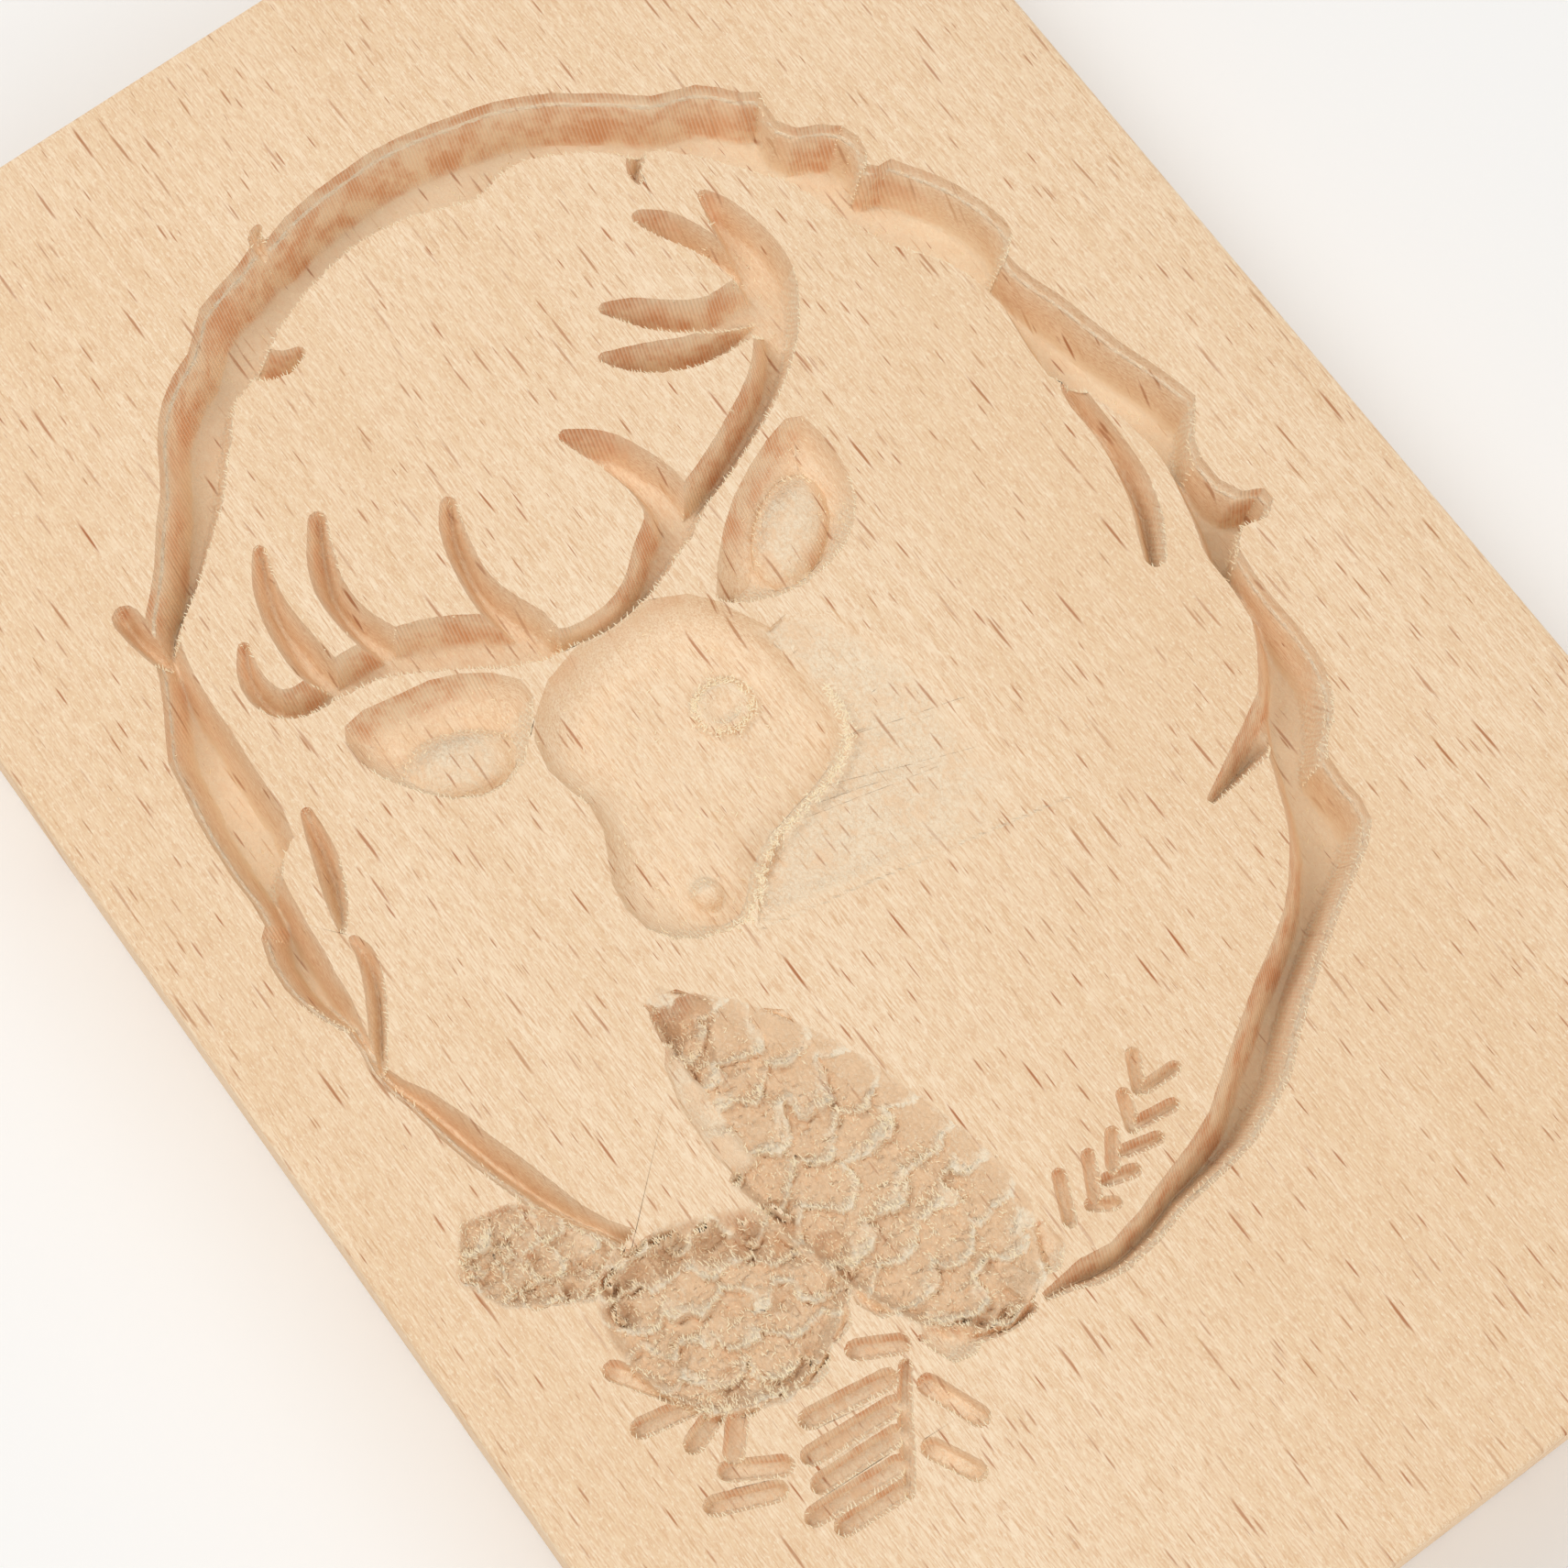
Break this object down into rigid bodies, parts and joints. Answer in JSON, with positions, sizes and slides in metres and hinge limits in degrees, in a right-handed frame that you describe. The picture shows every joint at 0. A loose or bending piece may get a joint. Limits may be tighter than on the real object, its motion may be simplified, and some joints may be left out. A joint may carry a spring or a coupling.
{
  "type": "cookie stamp",
  "caption": "Flat solid beech board with a stag's head, a branch wreath and pine cones carved into its face, pressed on dough to emboss it",
  "frame": {"origin": "middle of the flat back, where the board rests", "axes": "+X across the board to the picture's right, +Y along the grain to the picture's top, +Z out of the carved face"},
  "size_m": [0.1, 0.15, 0.02],
  "materials": {
    "beech": "bare, unoiled, fine sanded face with a machine-carved picture"
  },
  "bodies": {
    "root": {"carved_board": "beech"}
  },
  "joints": []
}
